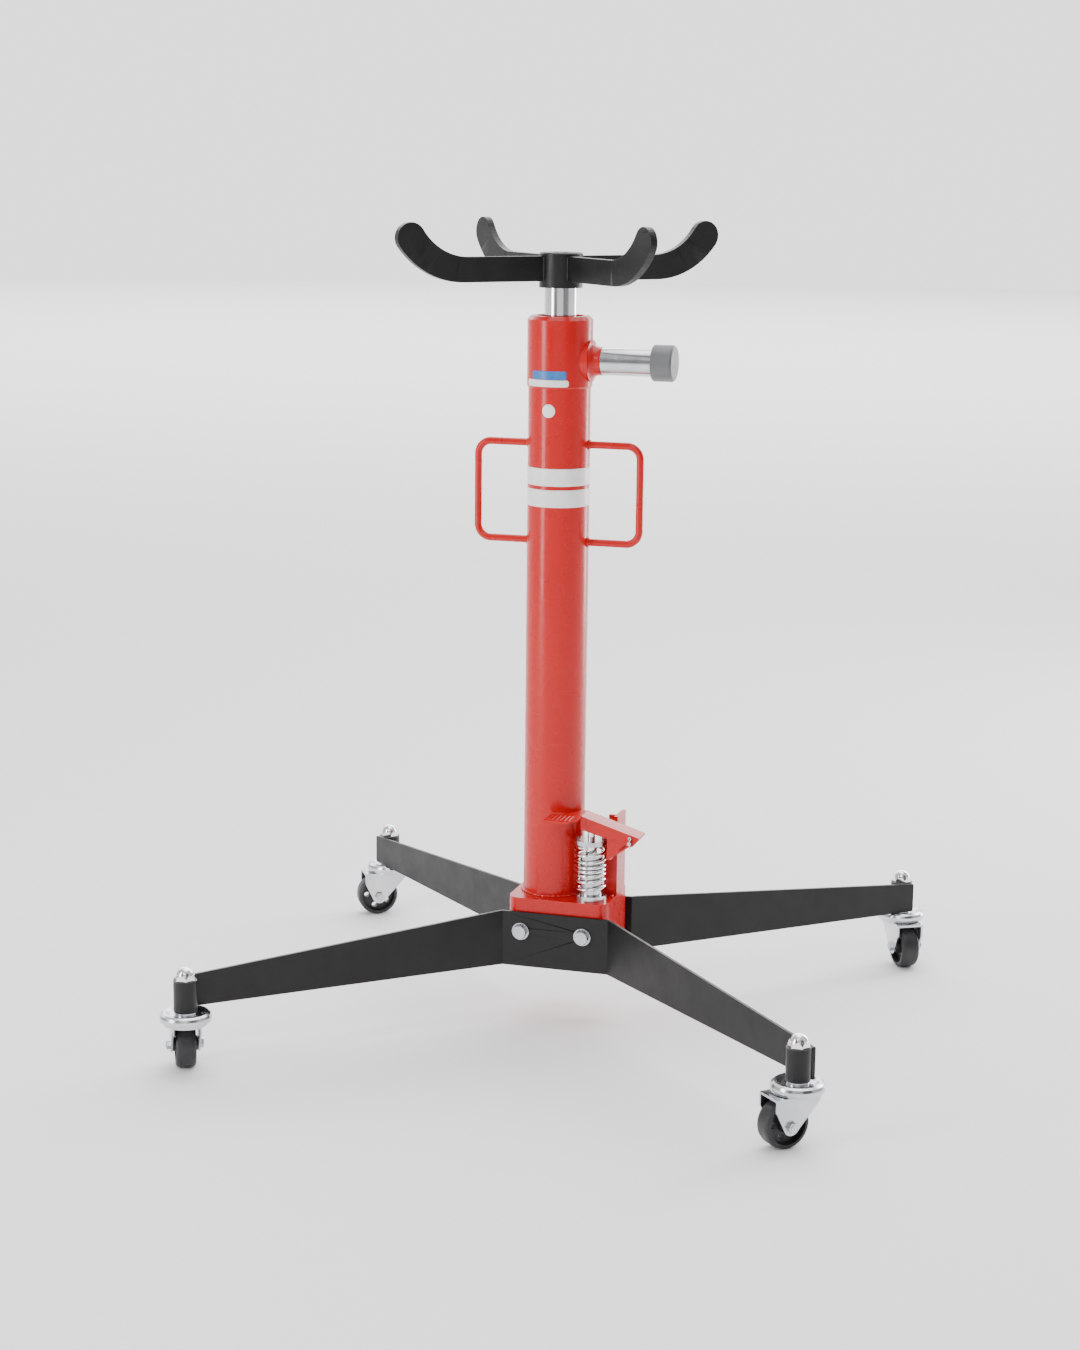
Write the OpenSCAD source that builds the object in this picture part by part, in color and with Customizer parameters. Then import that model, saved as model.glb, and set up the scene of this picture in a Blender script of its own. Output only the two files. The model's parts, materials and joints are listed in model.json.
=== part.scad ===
// Vertical two-stage hydraulic transmission jack on a four-legged base with swivel casters.
// Origin on the floor under the centre of the base, +Z up, front leg plate towards -Y.

/* [Base] */
// Height of the base block
block_h = 90; // [75:1:110]
// Wall of the base block round its underside pocket
block_wall = 14; // [8:1:20]
// Depth of the underside pocket
pocket_h = 20; // [10:1:24]
// Thickness of the block under the column's foot
column_floor = 30; // [28:1:40]
// Corner radius of the base block
block_r = 18; // [5:1:20]
// Ledge of the block in front of the pump's flange
front_ledge = 6.5; // [4:0.5:12]

/* [Legs] */
// Thickness of the bent leg plates
plate_t = 5; // [4:0.5:8]
// Distance of a leg plate's bend lines from the block's sides
bend_out = 3.6; // [2:0.2:10]
// Length of a leg from bend to end
leg_len = 461.5; // [380:0.5:560]
// Angle between a leg and the X axis
leg_angle = 42.6; // [35:0.1:50]
// How far a leg plate runs past the socket's axis
leg_over = 9; // [8:0.5:14]
// Height of the leg plate at the hub
hub_plate_h = 77; // [60:1:90]
// Height of the leg plate at its end
end_plate_h = 42; // [30:1:52]
// Radius of a leg bolt
leg_bolt_r = 6; // [4:0.5:7]
// Distance between the two bolts of a plate
leg_bolt_gap = 88; // [70:1:96]
// Shift of the bolt pair along X
leg_bolt_shift = -5; // [-8:1:8]
// Depth of a leg bolt's hole in the block
leg_bolt_depth = 16; // [10:1:18]

/* [Casters] */
// Radius of a stem socket at the end of a leg
socket_r = 15.5; // [14:0.5:18]
// Radius of a wheel
wheel_r = 31; // [25:0.5:38]
// Width of a wheel's tread
wheel_w = 26; // [20:1:32]
// Distance between the stem and the axle
trail = 20; // [16:1:24]
// Radius of the caster stem
stem_r = 6; // [5:0.5:7.5]
// Radius of the wheel axle
axle_r = 4; // [3:0.5:5]
// Wall of the wheel bush
bush_wall = 1.5; // [1:0.25:2.5]

/* [Column] */
// Place of the column's axis along X
column_x = -21; // [-24:1:-18]
// Gap between the pressure cylinder and the column tube, which holds the oil
reservoir_gap = 5; // [3:0.5:8]
// Wall of the column tube
column_wall = 4; // [3:0.5:5]
// Height of the head's top above the floor
head_top = 970; // [800:1:1180]
// Length of the head
head_len = 95; // [88:1:120]
// How far the head stands proud of the column tube
head_step = 2; // [1:0.5:4]

/* [Hydraulics] */
// Outer radius of the second-stage ram
stage_two_r = 22; // [18:0.5:27]
// Wall of the gland between the two rams
gland_wall = 1.5; // [1.3:0.1:3]
// Wall of the first-stage ram
stage_one_wall = 4.5; // [3:0.5:6]
// How far the first-stage piston stands proud of its ram
piston_step = 1; // [0.5:0.5:2]
// Wall of the pressure cylinder
cylinder_wall = 4; // [3:0.5:5]
// Height of the second-stage ram above the head
ram_show = 37; // [30:1:60]
// Radial clearance of every running fit
run_gap = 0.06; // [0.02:0.01:0.1]

/* [Handles] */
// Distance of the upper bars of the side handles below the head's top
handle_drop = 171; // [120:1:300]
// Height between the two bars of a side handle
handle_h = 132; // [110:1:160]
// Distance of a handle's outer bar from the column
handle_out = 71.5; // [55:0.5:100]
// Radius of the handle rod
handle_rod_r = 5; // [4:0.5:7]
// Bend radius of the handle rod
handle_bend_r = 18; // [12:1:30]

/* [Saddle] */
// How far the saddle hub stands proud of the second-stage ram
hub_step = 7; // [5:0.5:12]
// Height of the saddle hub
hub_h = 46; // [44:1:60]
// Thickness of a saddle arm
arm_t = 10; // [6:1:14]
// Height of a saddle arm's level stretch
arm_h = 33; // [24:1:38]
// Radius at which an arm starts to curve up
arm_flat = 142; // [100:1:180]
// Radius of the curve of an arm
arm_curve_r = 97; // [70:1:120]
// Angle of the curve of an arm
arm_curve = 55; // [40:1:70]
// Radius of an arm's round end
arm_tip_r = 20; // [17:0.5:24]

/* [Release valve] */
// Distance of the release knob's axis below the head's top
knob_drop = 59; // [56:1:62]
// How far the knob's neck stands out of the head
neck_len = 16; // [12:1:24]
// Radius of the knob's sleeve
sleeve_r = 18.5; // [15:0.5:20]
// Length of the knob's sleeve
sleeve_len = 69; // [50:1:90]
// Radius of the knob's end cap
cap_r = 24.3; // [20:0.1:30]
// Length of the knob's end cap
cap_len = 29; // [20:1:40]
// Radius of the release spindle
spindle_r = 6; // [4:0.5:8]

/* [Foot pump] */
// Outer radius of the pump's flange and spring cap
pump_r = 22; // [18:0.5:27]
// How far the pump is tucked in beside the column along X
pump_tuck = 2; // [0:0.5:3]
// Distance of the pump's axis behind the column's front
pump_inset = 12; // [8:0.5:14]
// Radius of the pump plunger
plunger_r = 8; // [6:0.5:9]
// Height of the pump from its seat to the top of the spring cap
pump_h = 84; // [70:1:101]
// Radius of the return spring's wire
spring_wire_r = 2.5; // [1.5:0.1:2.9]
// Number of turns of the return spring
spring_turns = 7; // [5:1:9]
// Wall of the pedal's bracket
bracket_wall = 5; // [4:0.5:8]
// Distance of the pedal's pivot from the bracket
pivot_out = 29; // [25:1:36]
// Radius of the pedal's pivot pin
pivot_r = 2.5; // [2:0.5:4]
// Width of the pedal's channel
pedal_w = 34; // [30:1:40]
// Thickness of the pedal's plate
pedal_t = 3; // [2:0.5:4]
// Depth of the foot pad in front of the channel
pad_d = 38; // [25:1:50]

/* [Hidden] */
$fn = 48;
// Order of the corners: front left, front right, back left, back right
side_x = [-1, 1, -1, 1];
side_y = [-1, -1, 1, 1];
swivel = [118, 225, 212, 300];
loose = 0.3;
// Wheels, forks and sockets, from the floor up
fork_z = 2 * wheel_r + 3;
fork_t = 3;
socket_z = fork_z + fork_t + 14;
socket_h = end_plate_h;
stem_top = socket_z + socket_h + 12;
cheek_t = 2.5;
cheek_y = wheel_w / 2 + 4;
hub_half = cheek_y - 0.5;
bush_r = axle_r + run_gap + bush_wall;
// Rams, cylinder and column, from the inside out
spigot_r = stage_two_r - 9;
hub_r = stage_two_r + hub_step;
stage_one_bore_r = stage_two_r + gland_wall;
stage_one_r = stage_one_bore_r + stage_one_wall;
cylinder_bore_r = stage_one_r + piston_step;
cylinder_r = cylinder_bore_r + cylinder_wall;
column_r = cylinder_r + reservoir_gap + column_wall;
head_r = column_r + head_step;
// Pump beside the column, and the block round both
pump_x = column_x + column_r + pump_r - pump_tuck;
pump_y = pump_inset - column_r;
barrel_r = pump_r - 7;
block_w = 2 * (pump_x + pump_r + 3 + bracket_wall);
block_d = 2 * (pump_r - pump_y + front_ledge);
block_bottom = socket_z + 6;
block_top = block_bottom + block_h;
face_y = block_d / 2;
outer_y = face_y + plate_t;
bend_x = block_w / 2 + bend_out;
plate_low = socket_z;
bolt_z = plate_low + hub_plate_h * 0.65;
// Centre of a stem socket, tangent to the outer face of its leg and let into it
socket_sink = 1.5;
reach_out = socket_r - socket_sink;
socket_x = bend_x + leg_len * cos(leg_angle) - reach_out * sin(leg_angle);
socket_y = outer_y + leg_len * sin(leg_angle) + reach_out * cos(leg_angle);
// Heights of the column, the rams and the saddle
column_foot = block_bottom + column_floor;
head_bottom = head_top - head_len;
sleeve_seat = 15;
cylinder_top = head_top - 40;
seal_h = 8;
piston_h = 25;
stage_one_foot = column_foot + 22;
stage_one_top = head_top - 4;
stage_two_foot = stage_one_foot + piston_h + 7;
ram_top = head_top + ram_show;
hub_top = ram_top + hub_h;
screw_r = 6;
hub_roof = 14;
screw_head_h = 5;
screw_head_r = 10;
screw_sink = screw_head_h + 1;
arm_z = hub_top - 4.5 - arm_h / 2;
handle_top = head_top - handle_drop;
handle_reach = column_r + handle_out;
// Release knob
knob_z = head_top - knob_drop;
neck_reach = head_r + neck_len;
sleeve_x = column_x + neck_reach + loose;
cap_x = sleeve_x + sleeve_len;
// Foot pump and pedal
pump_base_h = 7;
spigot_depth = 20;
cap_h = 6;
spring_cap_z = block_top + pump_h;
spring_low = block_top + pump_base_h;
spring_high = spring_cap_z - cap_h;
barrel_top = spring_cap_z - 22;
pivot_x = block_w / 2 + pivot_out;
pivot_z = spring_cap_z + 4;
pedal_rise = 0.302;
pedal_under = 7.8;
pedal_kink = pump_x - 11;
pedal_kink_z = pivot_z + pedal_under + (pivot_x - pedal_kink) * pedal_rise;
plunger_top = pivot_z + pedal_under + (pivot_x - pump_x - 5) * pedal_rise - 0.4;
coil_r = barrel_r + 1 + spring_wire_r;
coil_steps = 18;
wire_sides = 8;
coil_rise = spring_high - spring_low - 2 * spring_wire_r;
ball_r = 2.4;
ball_ring_r = 24;
ball_count = 8;
RED = [0.80, 0.07, 0.06];
BLACK = [0.05, 0.05, 0.055];
STEEL = [0.72, 0.73, 0.75];
CHROME = [0.85, 0.86, 0.88];

function arc(cx, cy, r, a0, a1, n = 12) = [for (i = [0:n]) let (a = a0 + (a1 - a0) * i / n)
    [cx + r * cos(a), cy + r * sin(a)]];

// Tube along Z
module pipe(r_out, r_in, h) {
    difference() {
        cylinder(r = r_out, h = h);
        translate([0, 0, -1]) cylinder(r = r_in, h = h + 2);
    }
}

module at_column() translate([column_x, 0, 0]) children();
module at_socket(i) translate([side_x[i] * socket_x, side_y[i] * socket_y, 0]) children();
module at_swivel(i) at_socket(i) rotate([0, 0, swivel[i]]) children();

// Places of the four leg bolts, axis pointing out of the block
module each_bolt() {
    for (side = [-1, 1])
        for (dx = [-1, 1])
            translate([leg_bolt_shift + dx * leg_bolt_gap / 2, side * face_y, bolt_z])
                rotate([-90 * side, 0, 0]) children();
}

module base_block() color(RED) {
    difference() {
        translate([0, 0, block_bottom]) linear_extrude(block_h) polygon(concat(
            arc(block_w / 2 - block_r, block_d / 2 - block_r, block_r, 0, 90),
            arc(-block_w / 2 + block_r, block_d / 2 - block_r, block_r, 90, 180),
            arc(-block_w / 2 + block_r, -block_d / 2 + block_r, block_r, 180, 270),
            arc(block_w / 2 - block_r, -block_d / 2 + block_r, block_r, 270, 360)));
        translate([-block_w / 2 + block_wall, -block_d / 2 + block_wall, block_bottom - 1])
            cube([block_w - 2 * block_wall, block_d - 2 * block_wall, pocket_h + 1]);
        at_column() translate([0, 0, column_foot]) cylinder(r = column_r, h = block_h);
        translate([pump_x, pump_y, block_top - spigot_depth])
            cylinder(r = barrel_r - 3, h = spigot_depth + 1);
        each_bolt() translate([0, 0, -leg_bolt_depth]) cylinder(r = leg_bolt_r, h = leg_bolt_depth + 1);
    }
}

// Wedge above the sloping top edge of the right leg, which starts just past the bend
module leg_top_cut() {
    start = 4;
    back = 30;
    slope = (hub_plate_h - end_plate_h) / (leg_len - start);
    top = plate_low + hub_plate_h;
    finish = leg_len + 40;
    translate([bend_x, -outer_y, 0]) rotate([90, 0, -leg_angle]) translate([0, 0, -50])
        linear_extrude(100) polygon([[start - back, top + back * slope],
            [finish, top - (finish - start) * slope], [finish, top + 20], [start - back, top + 20]]);
}

// Bent strip with a leg on each side, cut to its taper and let in round the sockets
module leg_plate() {
    mitre = plate_t * tan(leg_angle / 2);
    end_x = bend_x + (leg_len + leg_over) * cos(leg_angle);
    end_y = -outer_y - (leg_len + leg_over) * sin(leg_angle);
    in_x = plate_t * sin(leg_angle);
    in_y = plate_t * cos(leg_angle);
    difference() {
        translate([0, 0, plate_low]) linear_extrude(hub_plate_h) polygon([[-bend_x, -outer_y],
            [bend_x, -outer_y], [end_x, end_y], [end_x + in_x, end_y + in_y], [bend_x + mitre, -face_y],
            [-bend_x - mitre, -face_y], [-end_x - in_x, end_y + in_y], [-end_x, end_y]]);
        leg_top_cut();
        mirror([1, 0, 0]) leg_top_cut();
        for (dx = [-1, 1]) translate([leg_bolt_shift + dx * leg_bolt_gap / 2, -face_y + 1, bolt_z])
            rotate([90, 0, 0]) cylinder(r = leg_bolt_r, h = plate_t + 2);
        for (i = [0, 1]) at_socket(i) translate([0, 0, socket_z - 5])
            cylinder(r = socket_r, h = hub_plate_h + 10);
    }
}

module front_leg_plate() color(BLACK) leg_plate();
module rear_leg_plate() color(BLACK) mirror([0, 1, 0]) leg_plate();

module stem_sockets() color(BLACK) {
    for (i = [0:3]) at_socket(i) translate([0, 0, socket_z]) pipe(socket_r, stem_r, socket_h);
}

module leg_washers() color(STEEL) {
    each_bolt() translate([0, 0, plate_t]) pipe(leg_bolt_r * 2, leg_bolt_r, 1.6);
}

module leg_bolts() color(STEEL) {
    each_bolt() {
        translate([0, 0, -leg_bolt_depth + 1]) cylinder(r = leg_bolt_r, h = leg_bolt_depth + plate_t + 1);
        translate([0, 0, plate_t + 1.6]) intersection() {
            cylinder(r = leg_bolt_r * 1.75, h = 7, $fn = 6);
            cylinder(r1 = leg_bolt_r * 1.9, r2 = leg_bolt_r * 1.5, h = 7);
        }
    }
}

module column_tube() color(RED) {
    at_column() translate([0, 0, column_foot])
        pipe(column_r, column_r - column_wall, head_bottom + sleeve_seat - column_foot);
}

// Head with the sleeve over the column, the seats of cylinder and wiper, and the valve hole
module head_collar() color(RED) {
    bevel = 5;
    lead = 2.5;
    difference() {
        at_column() rotate_extrude() polygon([[stage_one_r + run_gap, cylinder_top],
            [stage_one_r + run_gap, head_top - seal_h - 2], [stage_one_r + 3, head_top - seal_h - 2],
            [stage_one_r + 3, head_top], [head_r - bevel, head_top], [head_r, head_top - bevel],
            [head_r, head_bottom + lead], [column_r, head_bottom], [column_r, head_bottom + sleeve_seat],
            [cylinder_r, head_bottom + sleeve_seat], [cylinder_r, cylinder_top]]);
        translate([column_x + cylinder_r + 2, 0, knob_z]) rotate([0, 90, 0])
            cylinder(r = spindle_r + run_gap, h = 20);
        translate([column_x, head_r - 7, head_top - 25]) rotate([-90, 0, 0]) cylinder(r = 6, h = 10);
    }
}

module filler_plug() color(STEEL) {
    translate([column_x, head_r - 6.5, head_top - 25]) rotate([-90, 0, 0]) {
        cylinder(r = 6, h = 8);
        translate([0, 0, 8]) cylinder(r = 9, h = 6, $fn = 6);
    }
}

// One side handle, on the +X side of the column
module handle_loop() {
    straight = handle_reach - handle_bend_r;
    inner = handle_h - 2 * handle_bend_r;
    difference() {
        union() {
            for (z = [handle_top - handle_h, handle_top]) translate([column_r - 6, 0, z])
                rotate([0, 90, 0]) cylinder(r = handle_rod_r, h = straight - column_r + 6);
            translate([handle_reach, 0, handle_top - handle_h + handle_bend_r])
                cylinder(r = handle_rod_r, h = inner);
            translate([straight, 0, handle_top - handle_bend_r]) rotate([90, 0, 0])
                rotate_extrude(angle = 90) translate([handle_bend_r, 0]) circle(r = handle_rod_r);
            translate([straight, 0, handle_top - handle_h + handle_bend_r]) rotate([90, 0, 0])
                rotate_extrude(angle = 90, start = 270) translate([handle_bend_r, 0])
                    circle(r = handle_rod_r);
        }
        translate([0, 0, handle_top - handle_h - 50]) cylinder(r = column_r, h = handle_h + 100);
    }
}

module right_handle() color(RED) at_column() handle_loop();
module left_handle() color(RED) at_column() mirror([1, 0, 0]) handle_loop();

module pressure_cylinder() color(STEEL) {
    at_column() translate([0, 0, column_foot])
        pipe(cylinder_r, cylinder_bore_r, cylinder_top - column_foot);
}

module wiper_seal() color(BLACK) {
    at_column() translate([0, 0, head_top - seal_h - 2]) pipe(stage_one_r + 3, stage_one_r + run_gap, seal_h);
}

module stage_one_ram() color(STEEL) {
    groove = 2;
    at_column() rotate_extrude() polygon([[10, stage_one_foot], [cylinder_bore_r - run_gap, stage_one_foot],
        [cylinder_bore_r - run_gap, stage_one_foot + 8], [cylinder_bore_r - groove, stage_one_foot + 8],
        [cylinder_bore_r - groove, stage_one_foot + 14], [cylinder_bore_r - run_gap, stage_one_foot + 14],
        [cylinder_bore_r - run_gap, stage_one_foot + piston_h], [stage_one_r, stage_one_foot + piston_h],
        [stage_one_r, stage_one_top], [stage_one_bore_r, stage_one_top],
        [stage_one_bore_r, stage_one_foot + piston_h], [10, stage_one_foot + piston_h]]);
}

module stage_one_seal() color(BLACK) {
    at_column() translate([0, 0, stage_one_foot + 8]) pipe(cylinder_bore_r - run_gap, cylinder_bore_r - 2, 6);
}

module stage_one_gland() color(STEEL) {
    at_column() translate([0, 0, stage_one_top - 26]) pipe(stage_one_bore_r, stage_two_r + run_gap, 26);
}

// Second-stage ram: foot piston, hollow rod, closed top with the saddle's spigot
module stage_two_ram() color(CHROME) {
    rod_bore_r = stage_two_r - 7;
    piston_r = stage_one_bore_r - run_gap;
    at_column() difference() {
        rotate_extrude() polygon([[rod_bore_r, stage_two_foot], [piston_r, stage_two_foot],
            [piston_r, stage_two_foot + 5], [piston_r - 1.2, stage_two_foot + 5],
            [piston_r - 1.2, stage_two_foot + 10], [piston_r, stage_two_foot + 10],
            [piston_r, stage_two_foot + 18], [stage_two_r, stage_two_foot + 18], [stage_two_r, ram_top],
            [spigot_r, ram_top], [spigot_r, hub_top - hub_roof - loose], [0, hub_top - hub_roof - loose],
            [0, head_top - 20], [rod_bore_r, head_top - 20]]);
        translate([0, 0, hub_top - screw_sink - 30]) cylinder(r = screw_r, h = 40);
    }
}

module stage_two_seal() color(BLACK) {
    piston_r = stage_one_bore_r - run_gap;
    at_column() translate([0, 0, stage_two_foot + 5]) pipe(piston_r, piston_r - 1.2, 5);
}

module saddle_hub() color(BLACK) {
    at_column() rotate_extrude() polygon([[spigot_r + run_gap, ram_top], [hub_r, ram_top],
        [hub_r, hub_top - 1.5], [hub_r - 1.5, hub_top], [screw_head_r + 2, hub_top],
        [screw_head_r + 2, hub_top - screw_sink], [screw_r + run_gap, hub_top - screw_sink],
        [screw_r + run_gap, hub_top - hub_roof], [spigot_r + run_gap, hub_top - hub_roof]]);
}

module saddle_screw() color(STEEL) {
    seat = hub_top - screw_sink + loose;
    at_column() {
        translate([0, 0, seat - 29]) cylinder(r = screw_r, h = 29);
        translate([0, 0, seat]) cylinder(r = screw_head_r, h = screw_head_h, $fn = 6);
    }
}

// Point beside an arm's curve, a step along it and a distance outside it
function arm_point(k, out) = let (a = arm_curve * k / 12, r = arm_curve_r + out)
    [arm_flat + r * sin(a), arm_curve_r - r * cos(a)];

// One saddle arm on edge: level stretch, upward curve and round end
module saddle_arm(i) color(BLACK) {
    half = arm_h / 2;
    tip = arm_point(12, 0);
    at_column() difference() {
        rotate([0, 0, atan2(side_y[i], side_x[i])]) translate([0, arm_t / 2, arm_z]) rotate([90, 0, 0])
            linear_extrude(arm_t) polygon(concat([[hub_r - 6, -half]],
                [for (k = [0:12]) arm_point(k, half + (arm_tip_r - half) * k / 12)],
                arc(tip[0], tip[1], arm_tip_r, arm_curve - 75, arm_curve + 75),
                [for (k = [12:-1:0]) arm_point(k, -half - (arm_tip_r - half) * k / 12)],
                [[hub_r - 6, half]]));
        translate([0, 0, ram_top - 10]) cylinder(r = hub_r, h = hub_h + 20);
    }
}

// Flared neck welded to the head, with the spindle's bore
module valve_neck() color(RED) {
    difference() {
        translate([column_x, 0, knob_z]) rotate([0, 90, 0]) rotate_extrude() polygon(concat(
            [[spindle_r + run_gap, head_r - 12], [sleeve_r + 9, head_r - 12]],
            [for (k = [0:8]) let (a = 90 * k / 8)
                [sleeve_r + 9.5 - 9 * sin(a), neck_reach - 3 - 12 * cos(a)]],
            [[sleeve_r + 0.5, neck_reach], [spindle_r + run_gap, neck_reach]]));
        at_column() translate([0, 0, knob_z - 50]) cylinder(r = head_r, h = 100);
    }
}

module release_spindle() color(STEEL) {
    tip_x = column_x + cylinder_r + 2.5;
    translate([tip_x, 0, knob_z]) rotate([0, 90, 0]) {
        cylinder(r1 = 1, r2 = spindle_r, h = 6);
        translate([0, 0, 6]) cylinder(r = spindle_r, h = cap_x + cap_len / 2 - tip_x - 6);
    }
}

module knob_sleeve() color(STEEL) {
    translate([sleeve_x, 0, knob_z]) rotate([0, 90, 0]) pipe(sleeve_r, spindle_r, sleeve_len);
}

module knob_cap() color([0.45, 0.46, 0.48]) {
    translate([cap_x, 0, knob_z]) rotate([0, 90, 0]) rotate_extrude() polygon([[spindle_r, 0],
        [cap_r - 1.5, 0], [cap_r, 1.5], [cap_r, cap_len - 2.5], [cap_r - 2.5, cap_len], [0, cap_len],
        [0, cap_len / 2],
        [spindle_r, cap_len / 2]]);
}

// Pump cylinder: spigot in the block, seating flange and barrel with the seal's groove
module pump_cylinder() color(STEEL) {
    bore_r = plunger_r + run_gap;
    translate([pump_x, pump_y, 0]) rotate_extrude() polygon([[0, block_top - spigot_depth],
        [barrel_r - 3, block_top - spigot_depth], [barrel_r - 3, block_top], [pump_r, block_top],
        [pump_r, block_top + pump_base_h], [barrel_r, block_top + pump_base_h], [barrel_r, barrel_top],
        [bore_r, barrel_top], [bore_r, barrel_top - 3], [bore_r + 3, barrel_top - 3],
        [bore_r + 3, barrel_top - 8], [bore_r, barrel_top - 8], [bore_r, block_top + 3], [0, block_top + 3]]);
}

module plunger_seal() color(BLACK) {
    translate([pump_x, pump_y, barrel_top - 8]) pipe(plunger_r + run_gap + 3, plunger_r + run_gap, 5);
}

module pump_plunger() color(CHROME) {
    translate([pump_x, pump_y, 0]) rotate_extrude() polygon([[0, block_top + 18],
        [plunger_r, block_top + 18], [plunger_r, spring_cap_z], [5, spring_cap_z], [5, plunger_top - 2],
        [3, plunger_top], [0, plunger_top]]);
}

module spring_cap() color(STEEL) {
    translate([pump_x, pump_y, spring_high]) pipe(pump_r, plunger_r, cap_h);
}

// Point of the spring wire's surface at a step along the coil and a step round the wire
function wire_point(k, s) = let (a = 360 * k / coil_steps, b = 360 * s / wire_sides,
        up = coil_rise * k / (coil_steps * spring_turns), r = coil_r + spring_wire_r * cos(b))
    [r * cos(a), r * sin(a), spring_wire_r + up + spring_wire_r * sin(b)];

module pump_spring() color(CHROME) {
    last = coil_steps * spring_turns;
    points = [for (k = [0:last]) for (s = [0:wire_sides - 1]) wire_point(k, s)];
    walls = [for (k = [0:last - 1]) for (s = [0:wire_sides - 1]) let (t = (s + 1) % wire_sides)
        [k * wire_sides + s, k * wire_sides + t, (k + 1) * wire_sides + t, (k + 1) * wire_sides + s]];
    start = [[for (s = [wire_sides - 1:-1:0]) s]];
    finish = [[for (s = [0:wire_sides - 1]) last * wire_sides + s]];
    translate([pump_x, pump_y, spring_low]) polyhedron(points, concat(walls, start, finish), convexity = 10);
}

// Channel post beside the pump and a tongue that carries the pedal's pivot
module pivot_bracket() color(RED) {
    post_x = block_w / 2;
    wall = bracket_wall;
    post_y = pump_y + pedal_w / 2 + 8;
    post_d = 43;
    post_h = pump_h + 28;
    tongue_w = pedal_w - 2 * pedal_t - 4;
    tongue_z = barrel_top;
    difference() {
        union() {
            translate([post_x - wall, post_y, block_top]) cube([wall, post_d, post_h]);
            for (y = [post_y, post_y + post_d - wall]) translate([post_x - 23, y, block_top])
                cube([19, wall, post_h - 8]);
            translate([post_x - wall, pump_y - tongue_w / 2, tongue_z - 2])
                cube([wall, post_y - pump_y + tongue_w / 2 + 1, 18]);
            translate([0, pump_y + tongue_w / 2, 0]) rotate([90, 0, 0]) linear_extrude(tongue_w)
                polygon(concat(
                [[post_x - wall, tongue_z], [post_x, tongue_z]],
                arc(pivot_x, pivot_z, pivot_r + 2.5, -75, 90), [[post_x - wall, pivot_z + pivot_r + 2.5]]));
        }
        translate([pivot_x, pump_y + 30, pivot_z]) rotate([90, 0, 0]) cylinder(r = pivot_r, h = 60);
    }
}

module pivot_pin() color(STEEL) {
    half = pedal_w / 2 + 1;
    translate([pivot_x, pump_y + half, pivot_z]) rotate([90, 0, 0]) difference() {
        union() {
            cylinder(r = pivot_r, h = 2 * half + 5);
            translate([0, 0, -2]) cylinder(r = pivot_r + 2, h = 2);
        }
        translate([0, 0, 2 * half + 2.5]) rotate([90, 0, 0]) cylinder(r = 0.8, h = 20, center = true);
    }
}

module split_pin() color(CHROME) {
    translate([pivot_x, pump_y - pedal_w / 2 - 3.5, pivot_z]) {
        translate([0, 0, -7]) cylinder(r = 0.8, h = 12);
        translate([0, 0, 6.4]) rotate([90, 0, 0]) rotate_extrude() translate([1.8, 0]) circle(r = 0.7);
    }
}

// Pedal: level foot pad, and a sloping channel over the plunger with holes for the pivot
module pedal() color(RED) {
    near_y = pump_y - pedal_w / 2;
    far_y = pump_y + pedal_w / 2;
    end_x = pivot_x + 12;
    line_z = pivot_z + pedal_under;
    top_left = [pedal_kink, pedal_kink_z];
    top_right = [end_x, line_z - (end_x - pivot_x) * pedal_rise];
    difference() {
        union() {
            translate([0, 0, pedal_kink_z]) linear_extrude(pedal_t) polygon([
                [pedal_kink - 42, near_y - pad_d], [pedal_kink - 8, near_y - pad_d],
                [pedal_kink + 1, near_y - pad_d / 2], [pedal_kink + 1, far_y], [pedal_kink - 4, far_y],
                [pedal_kink - 14, pump_y], [pedal_kink - 28, near_y + 1], [pedal_kink - 42, near_y - 3]]);
            translate([0, far_y, 0]) rotate([90, 0, 0]) linear_extrude(pedal_w) polygon([top_left, top_right,
                top_right + [0, pedal_t], top_left + [0, pedal_t]]);
            for (y = [near_y + pedal_t, far_y]) translate([0, y, 0]) rotate([90, 0, 0])
                linear_extrude(pedal_t) polygon(concat([top_left + [0, -16]],
                    arc(pivot_x, pivot_z, pivot_r + 3.5, 265, 320, 4),
                    [top_right, top_right + [0, pedal_t], top_left + [0, pedal_t]]));
        }
        translate([pivot_x, far_y + 5, pivot_z]) rotate([90, 0, 0])
            cylinder(r = pivot_r + run_gap, h = pedal_w + 10);
    }
}

// Stem with its shoulder, dished upper race and rivet head
module caster_stem(i) color(CHROME) {
    rivet_z = fork_z - 2.8;
    race_z = fork_z + fork_t;
    at_socket(i) rotate_extrude() polygon([[0, rivet_z], [stem_r + 2, rivet_z], [stem_r + 2, fork_z - loose],
        [stem_r, fork_z - loose], [stem_r, race_z + 7.5], [20, race_z + 7.5], [20, race_z + 5.6],
        [28.5, race_z + 5.6], [30.5, race_z + 3.5], [30.5, race_z + 1], [33, race_z + 1], [34, race_z + 4],
        [34, race_z + 8], [32.5, race_z + 11.5], [29.5, race_z + 13.3], [26, race_z + 13.3],
        [21, race_z + 10], [stem_r + 8, race_z + 10], [stem_r + 8, socket_z], [stem_r, socket_z],
        [stem_r, stem_top], [0, stem_top]]);
}

module dome_nuts() color(CHROME) {
    for (i = [0:3]) at_socket(i) translate([0, 0, socket_z + socket_h]) difference() {
        union() {
            intersection() {
                cylinder(r = stem_r * 2.3, h = 8, $fn = 6);
                cylinder(r1 = stem_r * 2.5, r2 = stem_r * 2.05, h = 8);
            }
            rotate_extrude() polygon(concat([[0, 0]], arc(0, 6, stem_r * 1.95, 0, 90)));
        }
        translate([0, 0, -1]) cylinder(r = stem_r, h = 13);
    }
}

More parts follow.
